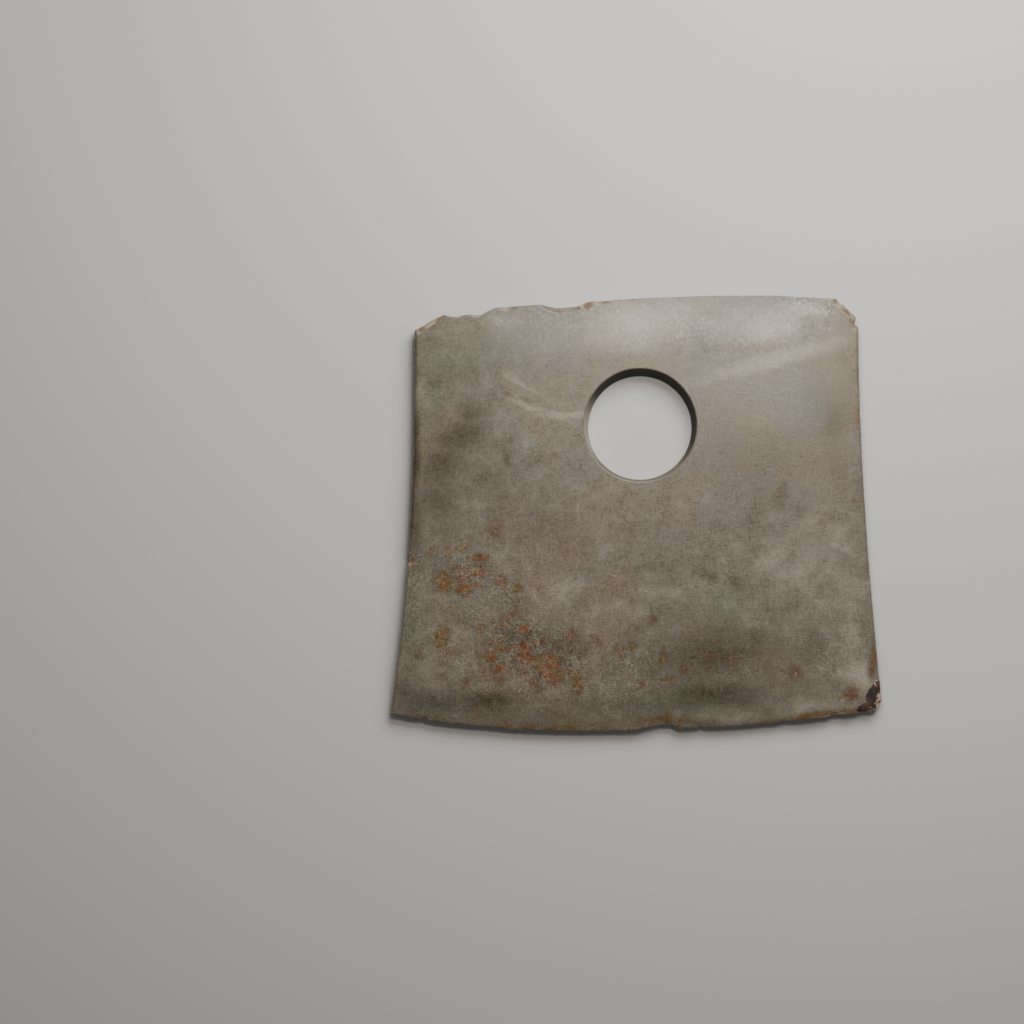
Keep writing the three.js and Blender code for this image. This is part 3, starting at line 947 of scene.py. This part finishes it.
class Stone:
    """The jade's finish: each method lays one kind of marking over the colour so far."""

    def __init__(self, graph):
        self.graph = graph
        metres = graph.node("ShaderNodeTexCoord").outputs["Object"]
        self.point = graph.vector("MULTIPLY", metres, (1 / MM,) * 3)
        self.bent = graph.shift(self.point, 8, 2.4, 3)
        self.crisp = graph.shift(self.point, 2.4, 1.0, 3)
        self.cloud = graph.noise(self.bent, 26, 5, 0.55)
        self.mottle = graph.noise(self.bent, 7, 5, 0.65)
        self.patch = graph.noise(self.bent, 3, 3, 0.6)
        self.speck = graph.noise(self.point, 1.3, 3, 0.7)
        self.grain = grain(graph, self.point)

    def field(self, name, low, high, ragged, texture=None):
        """A marking of the mesh, 0 where it is under `low` and 1 over `high`, with its inside broken up."""
        graph = self.graph
        offset = graph.math("SUBTRACT", self.mottle if texture is None else texture, 0.5)
        broken_up = graph.math("MULTIPLY_ADD", offset, ragged, 1.0)
        return graph.between(graph.math("MULTIPLY", graph.attribute(name), broken_up), low, high)

    def clouds(self):
        """The ground of the stone, with its dark and light clouds, pale bands and frost, among them painted
        light along the top and painted shade along the left rim.
        """
        graph = self.graph
        body = graph.mix(graph.between(self.cloud, 0.42, 0.54), STONE_WARM, STONE_MAUVE)
        body = graph.mix(graph.between(self.cloud, 0.52, 0.66, 0, 0.7), body, STONE_GREEN)
        body = graph.mix(self.field("green", 0.1, 0.8, 1.0), body, STONE_GREEN)
        body = graph.mix(graph.between(self.mottle, 0.5, 0.8, 0, 0.4), body, STONE_LIGHT)
        body = graph.mix(graph.between(self.mottle, 0.5, 0.2, 0, 0.4), body, STONE_DARK)
        # The dark clouds include painted shade along the left rim.
        body = graph.mix(self.field("dark", 0.1, 1.0, 2.0), body, STONE_DARK)
        # The light clouds along the top are partly painted light.
        body = graph.mix(self.field("light", 0.1, 1.3, 1.6), body, STONE_LIGHT)
        band = self.field("band", 0.3, 1.1, 0.9)
        body = graph.mix(graph.math("MULTIPLY", band, 0.6), body, STONE_LIGHT)
        crystals = graph.math("MULTIPLY_ADD", self.grain, 1.2, self.speck)
        frost = self.field("frost", 0.4, 0.8, 4.0, crystals)
        return graph.mix(graph.math("MULTIPLY", frost, 0.45), body, FROST)

    def rust(self, body):
        """Rust and ochre that have soaked into small cells of the stone, on a browner ground."""
        graph = self.graph
        ground = graph.math("MAXIMUM", graph.attribute("rust"), graph.attribute("ochre"))
        ground = graph.math("MULTIPLY_ADD", graph.math("SUBTRACT", self.patch, 0.5), 0.5, ground)
        body = graph.mix(graph.between(ground, 0.05, 0.55, 0, 0.75), body, STAIN_GROUND)
        ochre = self.field("ochre", 0.2, 0.8, 2.0, self.speck)
        body = graph.mix(graph.math("MULTIPLY", ochre, 0.85), body, OCHRE)
        rust = self.field("rust", 0.28, 0.72, 2.4, self.speck)
        return graph.mix(graph.math("MULTIPLY", rust, 0.88), body, RUST)

    def fibres(self, body):
        """Pale lines: short fibres and threads, denser in the veins, cells in the stains, and hairlines."""
        graph = self.graph
        veined = self.field("veined", 0.15, 0.75, 1.2)
        short = streaks(graph, self.crisp, FIBRES, 0.62, 0.8)
        short = graph.math("MULTIPLY", short, graph.math("MULTIPLY_ADD", veined, 0.26, 0.14))
        broken_up = graph.between(graph.noise(self.point, 5, 2), 0.36, 0.62)
        threads = graph.math("MULTIPLY", curls(graph, self.crisp, THREADS), broken_up)
        threads = graph.math("MULTIPLY", threads, graph.math("MULTIPLY_ADD", veined, 0.42, 0.08))
        stained = graph.math("MAXIMUM", graph.attribute("rust"), graph.attribute("ochre"))
        stained = graph.between(stained, 0.15, 0.5)
        cells = graph.math("MULTIPLY", cell_borders(graph, self.crisp, 3.0, 0.01, 0.055), stained)
        cells = graph.math("MULTIPLY", cells, graph.between(self.patch, 0.4, 0.6, 0.05, 0.4))
        hair = spots(graph, graph.shift(self.point, 4, 1.2), HAIRLINES, 0.9)
        hair = graph.math("MULTIPLY", hair, graph.between(self.speck, 0.3, 0.6, 0.2, 0.7))
        felt = graph.math("MAXIMUM", short, threads)
        self.lines = graph.math("MAXIMUM", felt, graph.math("MAXIMUM", cells, hair))
        return graph.mix(self.lines, body, THREAD)

    def woven(self, body):
        """The grain of the polish, as light and dark."""
        shade = self.graph.math("MULTIPLY_ADD", self.grain, 1.7, 1.0)
        return self.graph.vector("SCALE", body, shade)

    def browned(self, body):
        """Brown that has gathered along the rim and in patches by the cutting edge."""
        graph = self.graph
        ragged = graph.math("MULTIPLY_ADD", self.patch, 1.8, graph.attribute("inset"))
        line = graph.between(ragged, 0.7, 1.5, 1.0, 0.0)
        line = graph.math("MULTIPLY", line, graph.between(self.mottle, 0.4, 0.65, 0.0, 0.35))
        patches = self.field("brown", 0.25, 0.8, 1.6, self.patch)
        brown = graph.mix(graph.between(self.patch, 0.4, 0.6), EDGE_BROWN, OCHRE)
        return graph.mix(graph.math("MULTIPLY", graph.math("MAXIMUM", line, patches), 0.8), body, brown)

    def broken(self, body):
        """The rough skin of the breaks: cream, tan and rust, and the burnt corner of the cutting edge."""
        graph = self.graph
        fresh = graph.attribute("fresh")
        skin = graph.mix(graph.between(self.patch, 0.4, 0.58), BREAK_CREAM, BREAK_TAN)
        skin = graph.mix(graph.between(self.speck, 0.54, 0.68, 0, 0.8), skin, BREAK_RUST)
        body = graph.mix(graph.math("MULTIPLY", fresh, 0.85), body, skin)
        burnt = self.field("burnt", 0.46, 0.54, 0.7)
        crust = graph.mix(graph.between(self.patch, 0.4, 0.6), BURNT, BURNT_BLACK)
        crust = graph.mix(graph.between(self.speck, 0.62, 0.68), crust, BURNT_CREAM)
        crust = graph.mix(self.field("scorched", 0.4, 0.6, 1.8, self.speck), crust, BURNT_CREAM)
        self.pitted = graph.math("MAXIMUM", fresh, burnt)
        return graph.mix(burnt, body, crust)

    def walled(self, body):
        """The hole's wall: painted light on the side that faces the lamps, painted shade on the side turned
        from them.
        """
        graph = self.graph
        wall = graph.mix(graph.attribute("painted_light"), WALL_MIDDLE, WALL_PAINTED_LIGHT)
        wall = graph.mix(graph.attribute("painted_shade"), wall, WALL_PAINTED_SHADE)
        self.dull = graph.math("MAXIMUM", self.pitted, graph.attribute("wall"))
        return graph.mix(graph.math("MULTIPLY", graph.attribute("wall"), 0.92), body, wall)

    def roughness(self):
        """Duller and glossier specks on the polish, and rough breaks."""
        graph = self.graph
        polish = graph.between(self.mottle, 0.3, 0.7, 0.25, 0.37)
        specks = graph.math("MULTIPLY_ADD", graph.math("SUBTRACT", self.speck, 0.5), 0.4, polish)
        polish = graph.math("MULTIPLY_ADD", self.grain, 0.35, specks)
        return graph.math("MAXIMUM", polish, graph.math("MULTIPLY", self.dull, 0.85))

    def relief(self):
        """The bump of the grain, the fibres that stand a hair proud, and the pitted breaks."""
        graph = self.graph
        raised = graph.math("MULTIPLY", self.lines, 0.006)
        raised = graph.math("MULTIPLY_ADD", self.grain, 0.045, raised)
        pits = graph.math("MULTIPLY", graph.math("MULTIPLY", self.speck, self.pitted), 0.4)
        height = graph.math("ADD", raised, pits)
        return graph.node("ShaderNodeBump", {"Height": height, "Distance": MM}).outputs["Normal"]


def stone_material():
    """The jade, built up from its ground by one marking after another."""
    material = bpy.data.materials.new("jade")
    material.use_nodes = True
    material.node_tree.nodes.clear()
    graph = Graph(material.node_tree)
    stone = Stone(graph)
    body = stone.clouds()
    markings = (stone.rust, stone.fibres, stone.woven, stone.browned, stone.broken, stone.walled)
    for marking in markings:
        body = marking(body)
    inputs = {"Base Color": body, "Roughness": stone.roughness(), "Normal": stone.relief()}
    shader = graph.node("ShaderNodeBsdfPrincipled", inputs)
    shader.inputs["IOR"].default_value = NEPHRITE_IOR
    graph.node("ShaderNodeOutputMaterial", {"Surface": shader.outputs["BSDF"]})
    return material


# ================================================================ floor, lights and camera

CAMERA_HEIGHT = 1.5
CAMERA_XY = (-0.0413, 0.0005)
VIEW_WIDTH = 0.3413
SENSOR = 36
FLOOR_SIZE = 6
FLOOR_PAINT = colour(214, 211, 207)
WORLD_STRENGTH = 0.12
# Name, place, the point it is turned to, width and height, power in watts, and tint.
LIGHTS = [
    ("key", (0.1, 0.3, 0.3), (0, 0, 0), (0.35, 0.25), 2.05, (1, 1, 1)),
    ("sheen", (0.038, 0.112, 0.4), (0.025, 0.08, 0), (0.17, 0.06), 0.47, (1, 0.92, 0.84)),
]


def add_floor():
    """The plain pale floor that the axe head lies on."""
    bpy.ops.mesh.primitive_plane_add(size=FLOOR_SIZE, location=(0, 0, 0))
    floor = bpy.context.object
    floor.name = "floor"
    material = bpy.data.materials.new("floor_paint")
    material.use_nodes = True
    shader = material.node_tree.nodes["Principled BSDF"]
    shader.inputs["Base Color"].default_value = FLOOR_PAINT
    shader.inputs["Roughness"].default_value = 0.9
    floor.data.materials.append(material)


def add_light(name, place, target, size, power, tint):
    """A rectangular lamp, turned to its target."""
    light = bpy.data.lights.new(name, "AREA")
    light.shape = "RECTANGLE"
    light.size, light.size_y = size
    light.energy = power
    light.color = tint
    lamp = bpy.data.objects.new(name, light)
    lamp.location = place
    lamp.rotation_euler = (Vector(target) - Vector(place)).to_track_quat("-Z", "Y").to_euler()
    bpy.context.collection.objects.link(lamp)


def add_camera():
    """The camera, looking straight down."""
    camera = bpy.data.cameras.new("camera")
    camera.sensor_width = SENSOR
    camera.lens = SENSOR * (CAMERA_HEIGHT - THICKNESS * MM / 2) / VIEW_WIDTH
    holder = bpy.data.objects.new("camera", camera)
    holder.location = (*CAMERA_XY, CAMERA_HEIGHT)
    bpy.context.collection.objects.link(holder)
    bpy.context.scene.camera = holder


def add_world():
    """A faint even light from all round."""
    world = bpy.data.worlds.new("studio")
    world.use_nodes = True
    background = world.node_tree.nodes["Background"]
    background.inputs["Color"].default_value = (1, 1, 1, 1)
    background.inputs["Strength"].default_value = WORLD_STRENGTH
    bpy.context.scene.world = world


stone = bpy.data.objects.new("axe_stone", axe_mesh())
bpy.context.collection.objects.link(stone)
stone.data.materials.append(stone_material())
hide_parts(NODE)
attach(stone, "root")

add_floor()
for light in LIGHTS:
    add_light(*light)
add_world()
add_camera()
